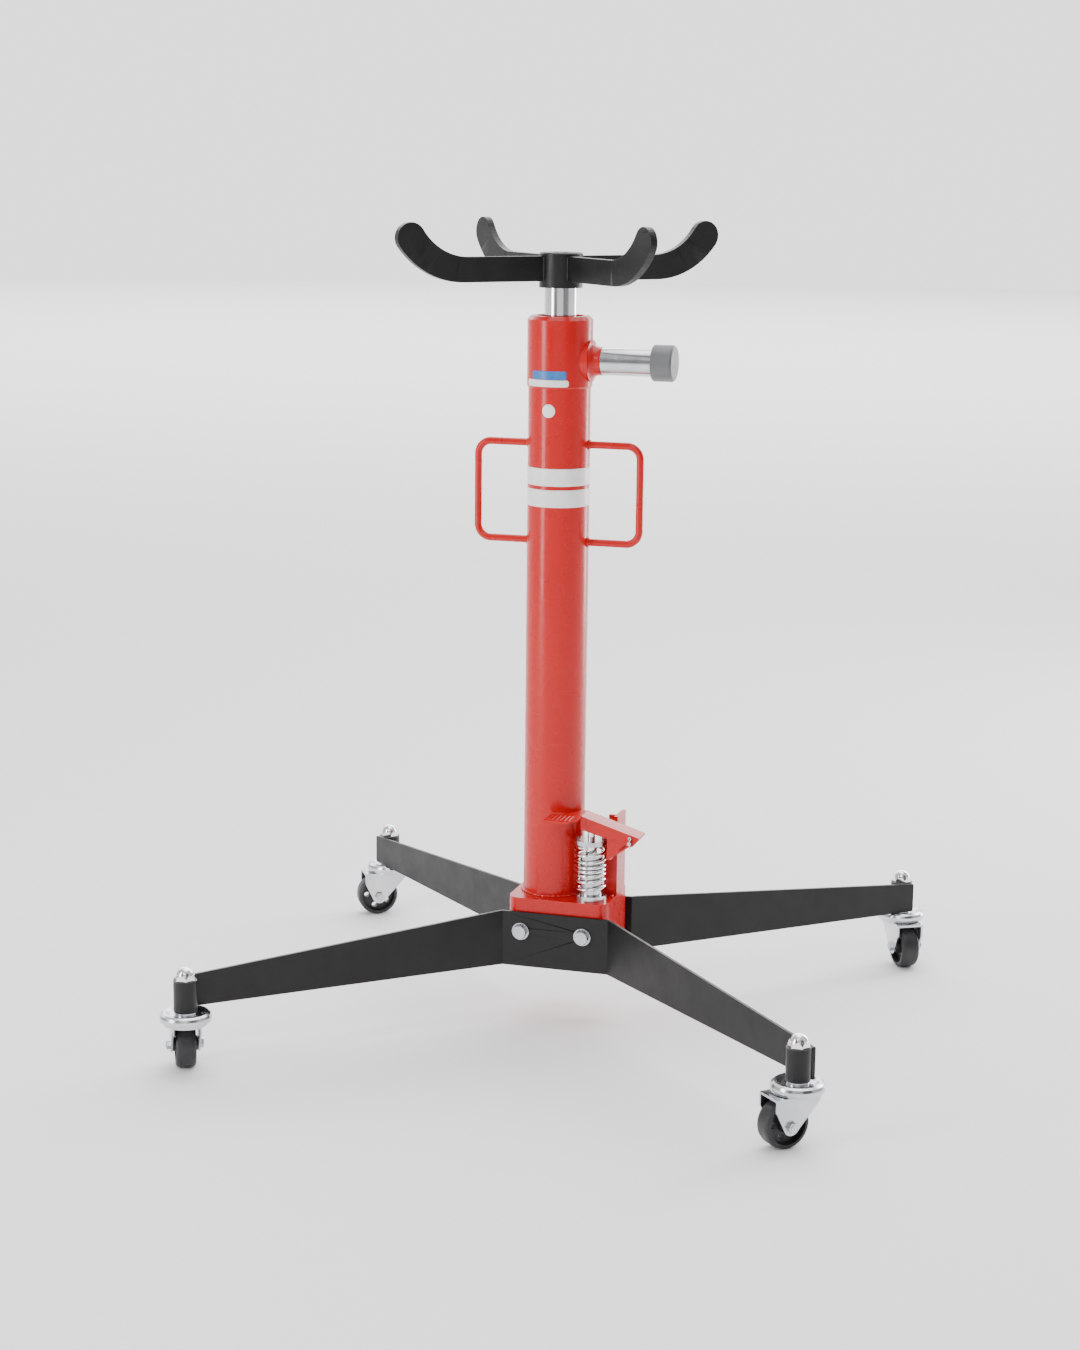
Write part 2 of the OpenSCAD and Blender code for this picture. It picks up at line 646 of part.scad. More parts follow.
module bearing_balls() color(STEEL) {
    for (i = [0:3]) at_socket(i) for (k = [0:ball_count - 1]) rotate([0, 0, 360 * k / ball_count])
        translate([ball_ring_r, 0, fork_z + fork_t + 0.2 + ball_r]) sphere(r = ball_r);
}

// Fork: top plate under the race and two tapering cheeks beside the wheel
module fork(i) color(CHROME) {
    top = fork_z + fork_t;
    at_swivel(i) difference() {
        union() {
            translate([0, 0, fork_z]) cylinder(r = 29, h = fork_t);
            translate([0, -cheek_y - cheek_t, fork_z]) cube([trail + 22, 2 * (cheek_y + cheek_t), fork_t]);
            for (y = [-cheek_y, cheek_y + cheek_t]) translate([0, y, 0]) rotate([90, 0, 0])
                linear_extrude(cheek_t) polygon(concat([[-21, top], [-21, fork_z - 5]],
                    arc(trail, wheel_r, 11, 210, 330), [[trail + 22, fork_z - 14], [trail + 22, top]]));
        }
        translate([0, 0, fork_z - 1]) cylinder(r = stem_r + run_gap, h = fork_t + 2);
        translate([trail, 40, wheel_r]) rotate([90, 0, 0]) cylinder(r = axle_r, h = 80);
    }
}

// Axle bolt with its head and nut
module axle(i) color(STEEL) {
    outside = cheek_y + cheek_t;
    at_swivel(i) translate([trail, 0, wheel_r]) rotate([90, 0, 0]) {
        translate([0, 0, -outside - 6]) cylinder(r = axle_r, h = 2 * outside + 8);
        translate([0, 0, outside]) cylinder(r = axle_r * 1.75, h = 4.5, $fn = 6);
        translate([0, 0, -outside - 5]) difference() {
            cylinder(r = axle_r * 1.75, h = 5, $fn = 6);
            translate([0, 0, -1]) cylinder(r = axle_r, h = 7);
        }
    }
}

// Wheel: rounded tread, thin web with holes, and a long hub bored for its bush
module wheel(i) color(BLACK) {
    half = wheel_w / 2;
    web = 5;
    rim_r = wheel_r - 7;
    nave_r = bush_r + 4;
    hole_r = 4.2;
    at_swivel(i) translate([trail, 0, wheel_r]) rotate([90, 0, 0]) difference() {
        rotate_extrude() polygon([[bush_r, -hub_half], [nave_r, -hub_half], [nave_r + 1.5, -web],
            [rim_r, -web], [rim_r + 1, -half], [wheel_r - 3, -half], [wheel_r - 0.8, -half + 2.2],
            [wheel_r, -half + 6],
            [wheel_r, half - 6], [wheel_r - 0.8, half - 2.2], [wheel_r - 3, half],
            [rim_r + 1, half], [rim_r, web], [nave_r + 1.5, web], [nave_r, hub_half], [bush_r, hub_half]]);
        for (a = [0:72:288]) rotate([0, 0, a]) translate([(nave_r + 1.5 + rim_r) / 2, 0, -web - 1])
            cylinder(r = hole_r, h = 2 * web + 2);
    }
}

module wheel_bush(i) color(STEEL) {
    at_swivel(i) translate([trail, hub_half, wheel_r]) rotate([90, 0, 0])
        pipe(bush_r, axle_r + run_gap, 2 * hub_half);
}

base_block();
front_leg_plate();
rear_leg_plate();
stem_sockets();
leg_bolts();
leg_washers();
column_tube();
head_collar();
left_handle();
right_handle();
filler_plug();
pressure_cylinder();
wiper_seal();
valve_neck();
pump_cylinder();
plunger_seal();
pivot_bracket();
pivot_pin();
split_pin();
dome_nuts();
bearing_balls();
stage_one_ram();
stage_one_seal();
stage_one_gland();
stage_two_ram();
stage_two_seal();
saddle_hub();
saddle_arm(0);  // saddle_arm_fl
saddle_arm(1);  // saddle_arm_fr
saddle_arm(2);  // saddle_arm_bl
saddle_arm(3);  // saddle_arm_br
saddle_screw();
release_spindle();
knob_sleeve();
knob_cap();
pedal();
pump_plunger();
spring_cap();
pump_spring();
caster_stem(0);  // caster_stem_fl
caster_stem(1);  // caster_stem_fr
caster_stem(2);  // caster_stem_bl
caster_stem(3);  // caster_stem_br
fork(0);  // fork_fl
fork(1);  // fork_fr
fork(2);  // fork_bl
fork(3);  // fork_br
axle(0);  // axle_fl
axle(1);  // axle_fr
axle(2);  // axle_bl
axle(3);  // axle_br
wheel(0);  // wheel_fl
wheel(1);  // wheel_fr
wheel(2);  // wheel_bl
wheel(3);  // wheel_br
wheel_bush(0);  // wheel_bush_fl
wheel_bush(1);  // wheel_bush_fr
wheel_bush(2);  // wheel_bush_bl
wheel_bush(3);  // wheel_bush_br
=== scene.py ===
# Looks of the telescopic jack: materials, weld beads, bands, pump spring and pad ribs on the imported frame
import json
import math

import bmesh
import bpy
from mathutils import Matrix, Vector


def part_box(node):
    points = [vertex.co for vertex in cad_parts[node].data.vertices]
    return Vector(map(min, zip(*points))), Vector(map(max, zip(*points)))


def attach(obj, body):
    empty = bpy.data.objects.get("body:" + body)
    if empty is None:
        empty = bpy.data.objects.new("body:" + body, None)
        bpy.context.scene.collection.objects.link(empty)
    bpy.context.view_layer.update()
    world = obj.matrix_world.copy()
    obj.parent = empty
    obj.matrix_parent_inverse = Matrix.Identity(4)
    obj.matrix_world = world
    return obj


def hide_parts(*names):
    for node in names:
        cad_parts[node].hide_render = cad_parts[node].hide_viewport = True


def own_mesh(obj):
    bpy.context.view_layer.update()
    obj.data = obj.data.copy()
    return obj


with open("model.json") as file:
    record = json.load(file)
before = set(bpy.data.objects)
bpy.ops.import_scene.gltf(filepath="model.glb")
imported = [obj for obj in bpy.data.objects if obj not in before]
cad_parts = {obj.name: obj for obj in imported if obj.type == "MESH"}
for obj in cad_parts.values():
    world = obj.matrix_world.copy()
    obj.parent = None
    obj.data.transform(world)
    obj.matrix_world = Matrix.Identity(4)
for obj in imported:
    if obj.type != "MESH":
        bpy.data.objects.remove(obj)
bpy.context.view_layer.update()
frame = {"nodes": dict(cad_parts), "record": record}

NODES = frame["nodes"]
CORNERS = ("fl", "fr", "bl", "br")
MM = 0.001

# Studio
FLOOR_RADIUS, FLOOR_CORNERS = 20, 128
FLOOR_GREY, CARD_GREY = 0.92, 0.10
CARD_ROUGHNESS = 0.9
FLAG_DISTANCE, FLAG_HEIGHT = 11.0, 9.0
SKY_LEVEL, SKY_BEHIND = 0.76, 2.0
BEHIND_AZIMUTH, BEHIND_INNER, BEHIND_OUTER = 106, 32, 60

# Trim, in metres unless it says otherwise
BEVEL_ANGLE = 32
BEVEL_SEGMENTS = 3
WELD_MERGE = 0.00001
WELD_RIPPLE = 0.16
FILM_LIFT, FILM_THICKNESS = 0.00012, 0.00016
FILM_COLUMNS, FILM_ROWS = 48, 8
BAND_TALL, BAND_HALF_GAP, BAND_RAISE = 0.0235, 0.0025, 0.010
BADGE_DROP, BADGE_RADIUS = 0.029, 0.009
LEG_ANGLE = 42.6
SOCKET_SINK, SOCKET_CHORD, SOCKET_WELD_LENGTH = 0.0140, 0.0070, 0.037
ARM_HALF_THICKNESS, ARM_WELD_RAISE, ARM_WELD_LENGTH = 0.005, 0.0095, 0.031
BRACKET_FOOT_Y, BRACKET_END_Y, BRACKET_POST_X = 0.0265, 0.006, 0.0052
SPRING_WIRE_RADIUS, SPRING_TURNS, SPRING_STEPS = 0.0025, 7.6, 26
SPRING_CLOSED_ENDS, SPRING_START, SPRING_KEEP = 0.055, 0.9, 0.808
RIB_COUNT, RIB_PITCH, RIB_RADIUS, RIB_END_RADIUS = 6, 0.0058, 0.0009, 0.0004


# ---------- camera, floor and light ----------

def add_camera():
    """Camera at the photograph's viewing angle, with its long lens and slight roll."""
    place = Vector((0.9747, -3.3852, 1.1924))
    yaw, pitch, roll = math.radians(-16.75), math.radians(11.40), math.radians(0.62)
    forward = Vector((math.sin(yaw) * math.cos(pitch), math.cos(yaw) * math.cos(pitch), -math.sin(pitch)))
    level = Vector((math.cos(yaw), -math.sin(yaw), 0))
    upright = level.cross(forward)
    right = level * math.cos(roll) + upright * math.sin(roll)
    up = right.cross(forward)
    data = bpy.data.cameras.new("camera")
    data.lens = 70.13
    data.sensor_width = 36
    data.clip_end = 50
    camera = bpy.data.objects.new("camera", data)
    camera.matrix_world = Matrix((
        (right.x, up.x, -forward.x, place.x),
        (right.y, up.y, -forward.y, place.y),
        (right.z, up.z, -forward.z, place.z),
        (0, 0, 0, 1)))
    bpy.context.scene.collection.objects.link(camera)
    bpy.context.scene.camera = camera


def add_area(name, place, target, size, power):
    """Rectangular softbox that faces its target."""
    data = bpy.data.lights.new(name, "AREA")
    data.shape = "RECTANGLE"
    data.size, data.size_y = size
    data.energy = power
    lamp = bpy.data.objects.new(name, data)
    lamp.location = place
    lamp.rotation_euler = (Vector(target) - Vector(place)).to_track_quat("-Z", "Y").to_euler()
    bpy.context.scene.collection.objects.link(lamp)


def add_studio():
    """Pale floor, pale surroundings, two dark cards for the metal to mirror and five plain softboxes."""
    surround_with_light()
    add_flag("flag_side", -36, 20)
    add_flag("flag_front", -108, 9)
    mesh = bpy.data.meshes.new("floor")
    turns = [2 * math.pi * k / FLOOR_CORNERS for k in range(FLOOR_CORNERS)]
    rim = [(FLOOR_RADIUS * math.cos(a), FLOOR_RADIUS * math.sin(a), 0) for a in turns]
    mesh.from_pydata(rim, [], [range(FLOOR_CORNERS)])
    floor = bpy.data.objects.new("floor", mesh)
    bpy.context.scene.collection.objects.link(floor)
    floor.data.materials.append(plain_matt("floor", FLOOR_GREY))
    add_area("key", (-2.30, -2.50, 1.25), (0, 0, 0.9), (0.75, 2.5), 62)
    add_area("rim", (1.95, 2.60, 1.25), (0, 0, 0.9), (0.75, 2.5), 70)
    add_area("front", (0.30, -3.60, 3.00), (0, 0, 0.5), (1.8, 1.0), 34)
    add_area("top", (0.10, 0.40, 3.60), (0, 0, 0), (3.0, 3.0), 66)
    add_area("floor_sweep", (-3.0, 12.0, 7.0), (-3.0, 12.0, 0), (18.0, 13.0), 2500)


def surround_with_light():
    """White surroundings, brighter behind the object."""
    world = bpy.data.worlds.new("studio")
    bpy.context.scene.world = world
    world.use_nodes = True
    nodes, links = world.node_tree.nodes, world.node_tree.links
    place = nodes.new("ShaderNodeTexCoord")
    split = nodes.new("ShaderNodeSeparateXYZ")
    turn = nodes.new("ShaderNodeMath")
    turn.operation = "ARCTAN2"
    away = nodes.new("ShaderNodeMath")
    away.operation = "SUBTRACT"
    away.inputs[1].default_value = math.radians(BEHIND_AZIMUTH)
    size = nodes.new("ShaderNodeMath")
    size.operation = "ABSOLUTE"
    band = nodes.new("ShaderNodeMapRange")
    band.interpolation_type = "SMOOTHSTEP"
    band.inputs["From Min"].default_value = math.radians(BEHIND_INNER)
    band.inputs["From Max"].default_value = math.radians(BEHIND_OUTER)
    band.inputs["To Min"].default_value = SKY_BEHIND
    band.inputs["To Max"].default_value = SKY_LEVEL
    background = nodes["Background"]
    background.inputs["Color"].default_value = (1, 1, 1, 1)
    links.new(place.outputs["Generated"], split.inputs["Vector"])
    links.new(split.outputs["Y"], turn.inputs[0])
    links.new(split.outputs["X"], turn.inputs[1])
    links.new(turn.outputs["Value"], away.inputs[0])
    links.new(away.outputs["Value"], size.inputs[0])
    links.new(size.outputs["Value"], band.inputs["Value"])
    links.new(band.outputs["Result"], background.inputs["Strength"])


def add_flag(name, azimuth, spread):
    """Upright dark card that bright metal mirrors; camera rays pass through it."""
    middle = math.radians(azimuth)
    out = Vector((math.cos(middle), math.sin(middle), 0))
    across = Vector((-out.y, out.x, 0)) * FLAG_DISTANCE * math.tan(math.radians(spread))
    foot = out * FLAG_DISTANCE
    lift = Vector((0, 0, FLAG_HEIGHT))
    mesh = bpy.data.meshes.new(name)
    outline = [foot - across, foot + across, foot + across + lift, foot - across + lift]
    mesh.from_pydata(outline, [], [(0, 1, 2, 3)])
    card = bpy.data.objects.new(name, mesh)
    bpy.context.scene.collection.objects.link(card)
    card.visible_camera = False
    card.data.materials.append(plain_matt("dark_card", CARD_GREY))


def plain_matt(name, grey):
    material = bpy.data.materials.new(name)
    material.use_nodes = True
    shader = material.node_tree.nodes["Principled BSDF"]
    shader.inputs["Base Color"].default_value = (grey, grey, grey, 1)
    shader.inputs["Roughness"].default_value = CARD_ROUGHNESS
    return material


# ---------- materials ----------

class Tree:
    """Short way to wire one procedural material in object coordinates, in metres."""

    def __init__(self, name):
        self.material = bpy.data.materials.new(name)
        self.material.use_nodes = True
        self.nodes = self.material.node_tree.nodes
        self.links = self.material.node_tree.links
        self.shader = self.nodes["Principled BSDF"]
        self.place = self.nodes.new("ShaderNodeTexCoord").outputs["Object"]

    def set(self, **values):
        for name, value in values.items():
            self.shader.inputs[name.replace("_", " ")].default_value = value

    def noise(self, scale, detail=3.0, stretch=None, roughness=0.5):
        node = self.nodes.new("ShaderNodeTexNoise")
        node.inputs["Scale"].default_value = scale
        node.inputs["Detail"].default_value = detail
        node.inputs["Roughness"].default_value = roughness
        if stretch is None:
            self.links.new(self.place, node.inputs["Vector"])
        else:
            mapping = self.nodes.new("ShaderNodeMapping")
            mapping.inputs["Scale"].default_value = stretch
            self.links.new(self.place, mapping.inputs["Vector"])
            self.links.new(mapping.outputs["Vector"], node.inputs["Vector"])
        return node.outputs["Fac"]

    def spread(self, value, low, high, start=0.3, end=0.7):
        node = self.nodes.new("ShaderNodeMapRange")
        node.inputs["From Min"].default_value = start
        node.inputs["From Max"].default_value = end
        node.inputs["To Min"].default_value = low
        node.inputs["To Max"].default_value = high
        self.links.new(value, node.inputs["Value"])
        return node.outputs["Result"]

    def blend(self, share, first, second):
        node = self.nodes.new("ShaderNodeMix")
        node.data_type = "RGBA"
        self.links.new(share, node.inputs["Factor"])
        for socket, value in ((node.inputs["A"], first), (node.inputs["B"], second)):
            if isinstance(value, tuple):
                socket.default_value = (*value, 1)
            else:
                self.links.new(value, socket)
        return node.outputs["Result"]

    def math(self, operation, first, second):
        node = self.nodes.new("ShaderNodeMath")
        node.operation = operation
        for socket, value in zip(node.inputs, (first, second)):
            if isinstance(value, (int, float)):
                socket.default_value = value
            else:
                self.links.new(value, socket)
        return node.outputs["Value"]

    # Edge mask for a lighter edge colour: partly paint wear, partly a painted edge highlight.
    def worn_and_highlit_edge(self, radius):
        """1 on edges and 0 on flats, from how far a rounded normal leans away from the true one."""
        bevel = self.nodes.new("ShaderNodeBevel")
        bevel.samples = 4
        bevel.inputs["Radius"].default_value = radius
        geometry = self.nodes.new("ShaderNodeNewGeometry")
        dot = self.nodes.new("ShaderNodeVectorMath")
        dot.operation = "DOT_PRODUCT"
        self.links.new(bevel.outputs["Normal"], dot.inputs[0])
        self.links.new(geometry.outputs["Normal"], dot.inputs[1])
        return self.spread(dot.outputs["Value"], 1.0, 0.0, 0.80, 0.99)

    def bump(self, height, strength, distance, below=None):
        node = self.nodes.new("ShaderNodeBump")
        node.inputs["Strength"].default_value = strength
        node.inputs["Distance"].default_value = distance
        self.links.new(height, node.inputs["Height"])
        if below is not None:
            self.links.new(below, node.inputs["Normal"])
        return node.outputs["Normal"]

    def to(self, value, socket):
        self.links.new(value, self.shader.inputs[socket])


def red_paint():
    tree = Tree("red_enamel")
    drift = tree.spread(tree.noise(7.0), 0.0, 1.0)
    tone = tree.blend(drift, (0.500, 0.0016, 0.0020), (0.545, 0.0022, 0.0024))
    # Lighter, pinker red along edges in patches: partly worn paint, partly a painted edge highlight.
    edge_patches = tree.spread(tree.noise(90.0), 0.0, 0.22, 0.45, 0.65)
    edge_wear_and_highlight = tree.math("MULTIPLY", tree.worn_and_highlit_edge(0.0008), edge_patches)
    tone = tree.blend(edge_wear_and_highlight, tone, (0.72, 0.10, 0.08))
    tree.to(tone, "Base Color")
    tree.to(tree.spread(tree.noise(28.0), 0.22, 0.34), "Roughness")
    peel = tree.bump(tree.noise(520.0, 2.0), 0.07, 0.0004)
    tree.to(tree.bump(tree.noise(60.0, 1.0), 0.012, 0.0010, peel), "Normal")
    tree.set(Coat_Weight=0.25, Coat_Roughness=0.06, Specular_IOR_Level=0.28)
    return tree.material


def black_paint():
    tree = Tree("black_powder_coat")
    drift = tree.spread(tree.noise(9.0), 0.0, 1.0)
    tone = tree.blend(drift, (0.0045, 0.0045, 0.0050), (0.0085, 0.0085, 0.0092))
    dust = tree.spread(tree.noise(600.0, 2.0), 0.0, 0.06, 0.62, 0.80)
    tone = tree.blend(dust, tone, (0.10, 0.10, 0.105))
    # Paler grey along edges in patches: partly worn coat, partly a painted edge highlight.
    edge_patches = tree.spread(tree.noise(130.0), 0.05, 0.55, 0.38, 0.66)
    edge_wear_and_highlight = tree.math("MULTIPLY", tree.worn_and_highlit_edge(0.0009), edge_patches)
    tone = tree.blend(edge_wear_and_highlight, tone, (0.20, 0.20, 0.21))
    tree.to(tone, "Base Color")
    tree.to(tree.spread(tree.noise(35.0), 0.33, 0.46), "Roughness")
    grain = tree.bump(tree.noise(1500.0, 2.0), 0.16, 0.0003)
    tree.to(tree.bump(tree.noise(110.0, 1.0), 0.05, 0.0010, grain), "Normal")
    tree.set(Specular_IOR_Level=0.34)
    return tree.material


def metal(name, light, dark, smooth, rough, stretch, scale=90.0, scratch=0.10):
    tree = Tree(name)
    tree.to(tree.blend(tree.spread(tree.noise(scale * 0.25), 0.0, 1.0), dark, light), "Base Color")
    streak = tree.noise(scale, 4.0, stretch)
    tree.to(tree.spread(streak, smooth, rough), "Roughness")
    tree.to(tree.bump(streak, scratch, 0.0002), "Normal")
    tree.set(Metallic=1.0, IOR=2.5)
    return tree.material


def moulded(name, low, high, rough, grain, bumpiness):
    tree = Tree(name)
    tree.to(tree.blend(tree.spread(tree.noise(25.0), 0.0, 1.0), low, high), "Base Color")
    tree.to(tree.spread(tree.noise(80.0), rough - 0.07, rough + 0.08), "Roughness")
    tree.to(tree.bump(tree.noise(grain, 2.0), bumpiness, 0.0003), "Normal")
    tree.set(IOR=1.48)
    return tree.material


def film(name, low, high, rough=0.32):
    tree = Tree(name)
    tree.to(tree.blend(tree.spread(tree.noise(60.0), 0.0, 1.0), low, high), "Base Color")
    tree.to(tree.spread(tree.noise(240.0), rough - 0.05, rough + 0.10), "Roughness")
    tree.to(tree.bump(tree.noise(700.0, 1.0), 0.06, 0.0002), "Normal")
    return tree.material


RED = red_paint()
BLACK = black_paint()
CHROME = metal("chrome", (0.90, 0.90, 0.91), (0.82, 0.83, 0.85), 0.06, 0.15, (1, 1, 0.1), 160.0, 0.03)
ZINC = metal("bright_zinc", (0.62, 0.63, 0.65), (0.44, 0.46, 0.50), 0.18, 0.36, (1, 1, 1), 130.0, 0.10)
ALONG_X = (3, 0.04, 0.04)
TURNED = metal("turned_steel", (0.66, 0.67, 0.69), (0.56, 0.57, 0.59), 0.17, 0.25, ALONG_X, 260.0, 0.05)
PLATED = metal("plated_sheet", (0.70, 0.71, 0.73), (0.50, 0.515, 0.545), 0.15, 0.30, (1, 1, 1), 70.0, 0.06)
GREY = moulded("grey_cap", (0.115, 0.118, 0.122), (0.150, 0.153, 0.157), 0.40, 900.0, 0.14)
RUBBER = moulded("seal_rubber", (0.010, 0.010, 0.010), (0.022, 0.022, 0.022), 0.62, 700.0, 0.2)
WHEEL = moulded("wheel_plastic", (0.011, 0.011, 0.012), (0.026, 0.026, 0.028), 0.46, 800.0, 0.18)
WHITE_FILM = film("white_film", (0.84, 0.84, 0.83), (0.93, 0.93, 0.92))
BLUE_FILM = film("blue_film", (0.02, 0.14, 0.42), (0.03, 0.20, 0.52))

BY_SLOT = {
    "red_paint": RED,
    "black_paint": BLACK,
    "zinc_steel": ZINC,
    "plain_steel": TURNED,
    "chrome": CHROME,
    "grey_plastic": GREY,
    "seal_rubber": RUBBER,
    "wheel_plastic": WHEEL,
}


def dress_nodes():
    """Gives each CAD node the finish of its slot, and real rounded edges where sheet and castings show."""
    slot_of = {row["node"]: row["material_slot"] for row in frame["record"]["subparts"]}
    rounded = {"base_block": 2.2, "pedal": 0.7, "pivot_bracket": 0.8}
    rounded.update({"front_leg_plate": 0.8, "rear_leg_plate": 0.8})
    rounded.update({"saddle_arm_" + c: 1.6 for c in CORNERS})
    rounded.update({"fork_" + c: 0.6 for c in CORNERS})
    rounded.update({"leg_bolts": 0.4, "saddle_screw": 0.4, "filler_plug": 0.4})
    for name, node in NODES.items():
        material = PLATED if name.startswith(("fork_", "caster_stem_")) else BY_SLOT[slot_of[name]]
        node.data.materials.clear()
        node.data.materials.append(material)
        if name in rounded:
            weld = node.modifiers.new("weld", "WELD")
            weld.merge_threshold = WELD_MERGE
            bevel = node.modifiers.new("round", "BEVEL")
            bevel.width = rounded[name] * MM
            bevel.segments = BEVEL_SEGMENTS
            bevel.limit_method = "ANGLE"
            bevel.angle_limit = math.radians(BEVEL_ANGLE)
            bevel.harden_normals = True


# ---------- mesh helpers ----------

def mesh_piece(name, points, faces, body, material):
    """Smooth mesh that rides on a body and takes the finish it is given."""
    mesh = bpy.data.meshes.new(name)
    mesh.from_pydata(points, [], faces)
    mesh.update()
    work = bmesh.new()
    work.from_mesh(mesh)
    bmesh.ops.recalc_face_normals(work, faces=work.faces)
    work.to_mesh(mesh)
    work.free()
    for face in mesh.polygons:
        face.use_smooth = True
    mesh.materials.append(material)
    piece = bpy.data.objects.new(name, mesh)
    bpy.context.scene.collection.objects.link(piece)
    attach(piece, body)
    return piece


def sweep(path, radii, closed, sides=10):
    """Points and faces of a tube round a path, with one radius for each of its points."""
    points, faces = [], []
    count = len(path)
    side = None
    for k, here in enumerate(path):
        before = path[k - 1] if closed or k else here
        after = path[(k + 1) % count] if closed or k < count - 1 else here
        along = (after - before).normalized()
        if side is None:
            side = along.orthogonal().normalized()
        side = (side - along * side.dot(along)).normalized()
        other = along.cross(side)
        for s in range(sides):
            angle = 2 * math.pi * s / sides
            points.append(here + (side * math.cos(angle) + other * math.sin(angle)) * radii[k])
    for k in range(count if closed else count - 1):
        for s in range(sides):
            t = (s + 1) % sides
            a, b = k * sides, ((k + 1) % count) * sides
            faces.append((a + s, a + t, b + t, b + s))
    if not closed:
        faces.append(tuple(range(sides - 1, -1, -1)))
        faces.append(tuple((count - 1) * sides + s for s in range(sides)))
    return points, faces


def weld_bead(name, path, radius, body, material, closed=False):
    """Weld bead: a tube whose thickness ripples like laid drops."""
    drops = [math.sin(k * math.pi * 0.5 + 0.4 * math.sin(k)) for k in range(len(path))]
    radii = [radius * (1 + WELD_RIPPLE * drop) for drop in drops]
    if not closed:
        radii[0] = radii[-1] = radius * 0.45
    points, faces = sweep(path, radii, closed)
    return mesh_piece(name, points, faces, body, material)


def ring_path(center, normal, radius, count):
    normal = Vector(normal).normalized()
    first = normal.orthogonal().normalized()
    second = normal.cross(first)
    center = Vector(center)
    turns = [2 * math.pi * k / count for k in range(count)]
    return [center + (first * math.cos(a) + second * math.sin(a)) * radius for a in turns]


def line_path(start, end, count):
    start, end = Vector(start), Vector(end)
    return [start.lerp(end, k / (count - 1)) for k in range(count)]


def center_of(node):
    low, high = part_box(node)
    return (Vector(low) + Vector(high)) / 2


def curved_label(name, axis, radius, z_low, z_high, from_angle, to_angle, material, corner=0.0025):
    """Thin film on a round tube between two heights and two angles, with rounded corners."""
    columns, rows = FILM_COLUMNS, FILM_ROWS
    height = z_high - z_low
    corner = min(corner, height / 2)
    width = math.radians(to_angle - from_angle) * radius
    points, faces = [], []
    for layer in (0, 1):
        for i in range(columns + 1):
            share = i / columns
            reach = min(share, 1 - share) * width
            inset = 0.0
            if reach < corner and to_angle - from_angle < 359:
                inset = corner - math.sqrt(max(0.0, corner ** 2 - (corner - reach) ** 2))
            angle = math.radians(from_angle + (to_angle - from_angle) * share)
            for j in range(rows + 1):
                z = z_low + inset + (height - 2 * inset) * j / rows
                r = radius + FILM_LIFT + layer * FILM_THICKNESS
                points.append((axis.x + r * math.cos(angle), axis.y + r * math.sin(angle), z))
    layer_size = (columns + 1) * (rows + 1)

    def at(layer, i, j):
        return layer * layer_size + i * (rows + 1) + j

    for i in range(columns):
        for j in range(rows):
            faces.append((at(1, i, j), at(1, i + 1, j), at(1, i + 1, j + 1), at(1, i, j + 1)))
            faces.append((at(0, i, j + 1), at(0, i + 1, j + 1), at(0, i + 1, j), at(0, i, j)))
    for i in range(columns):
        faces.append((at(0, i, 0), at(0, i + 1, 0), at(1, i + 1, 0), at(1, i, 0)))
        faces.append((at(1, i, rows), at(1, i + 1, rows), at(0, i + 1, rows), at(0, i, rows)))
    for j in range(rows):
        faces.append((at(0, 0, j + 1), at(0, 0, j), at(1, 0, j), at(1, 0, j + 1)))
        faces.append((at(0, columns, j), at(0, columns, j + 1), at(1, columns, j + 1), at(1, columns, j)))
    return mesh_piece(name, points, faces, "base", material)


# ---------- pieces ----------

def add_bands():
    """Two blank bands round the column, two blank plates on the head and a blank round badge."""
    axis = center_of("column_tube")
    tube_low, tube_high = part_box("column_tube")
    tube_r = (tube_high.x - tube_low.x) / 2
    handle_low, handle_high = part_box("left_handle")
    middle = (handle_low.z + handle_high.z) / 2 + BAND_RAISE
    for name, z_low, z_high in (
            ("band_lower", middle - BAND_HALF_GAP - BAND_TALL, middle - BAND_HALF_GAP),
            ("band_upper", middle + BAND_HALF_GAP, middle + BAND_HALF_GAP + BAND_TALL)):
        curved_label(name, axis, tube_r, z_low, z_high, -180, 180, WHITE_FILM)
    head_low, head_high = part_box("head_collar")
    head_r = (head_high.x - head_low.x) / 2
    for name, from_z, to_z, from_angle, to_angle, material in (
            ("plate_white", 0.003, 0.012, -143, -58, WHITE_FILM),
            ("plate_blue", 0.0125, 0.024, -128, -62, BLUE_FILM)):
        z_low, z_high = head_low.z + from_z, head_low.z + to_z
        curved_label(name, axis, head_r, z_low, z_high, from_angle, to_angle, material)
    badge = head_low.z - BADGE_DROP
    z_low, z_high = badge - BADGE_RADIUS, badge + BADGE_RADIUS
    curved_label("badge_blank", axis, tube_r, z_low, z_high, -106, -81.5, WHITE_FILM,
                 BADGE_RADIUS)


def add_welds():
    """Beads at the handles and the column's foot."""
    axis = center_of("column_tube")
    tube_low, tube_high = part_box("column_tube")
    tube_r = (tube_high.x - tube_low.x) / 2
    block_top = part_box("base_block")[1].z
    foot = ring_path((axis.x, axis.y, block_top + 0.0008), (0, 0, 1), tube_r + 0.0006, 150)
    weld_bead("weld_column_foot", foot, 0.0024, "base", RED, closed=True)
    handle_low, handle_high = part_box("left_handle")
    rod_r = (handle_high.y - handle_low.y) / 2
    for name, side in (("left", -1), ("right", 1)):
        for place, z in (("top", handle_high.z - rod_r), ("bottom", handle_low.z + rod_r)):
            path = ring_path((axis.x + side * (tube_r + 0.0004), 0, z), (1, 0, 0), rod_r + 0.0006, 24)
            weld_bead(f"weld_handle_{name}_{place}", path, 0.0016, "base", RED, closed=True)


def add_bracket_weld():
    """Bead along the foot of the pedal's bracket."""
    low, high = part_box("pivot_bracket")
    block_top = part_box("base_block")[1].z
    foot = low.y + BRACKET_FOOT_Y
    back = block_top + 0.0004
    post_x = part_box("base_block")[1].x - BRACKET_POST_X
    path = line_path((post_x, foot, back), (post_x, high.y - BRACKET_END_Y, back), 30)
    weld_bead("weld_bracket", path, 0.0022, "base", RED)


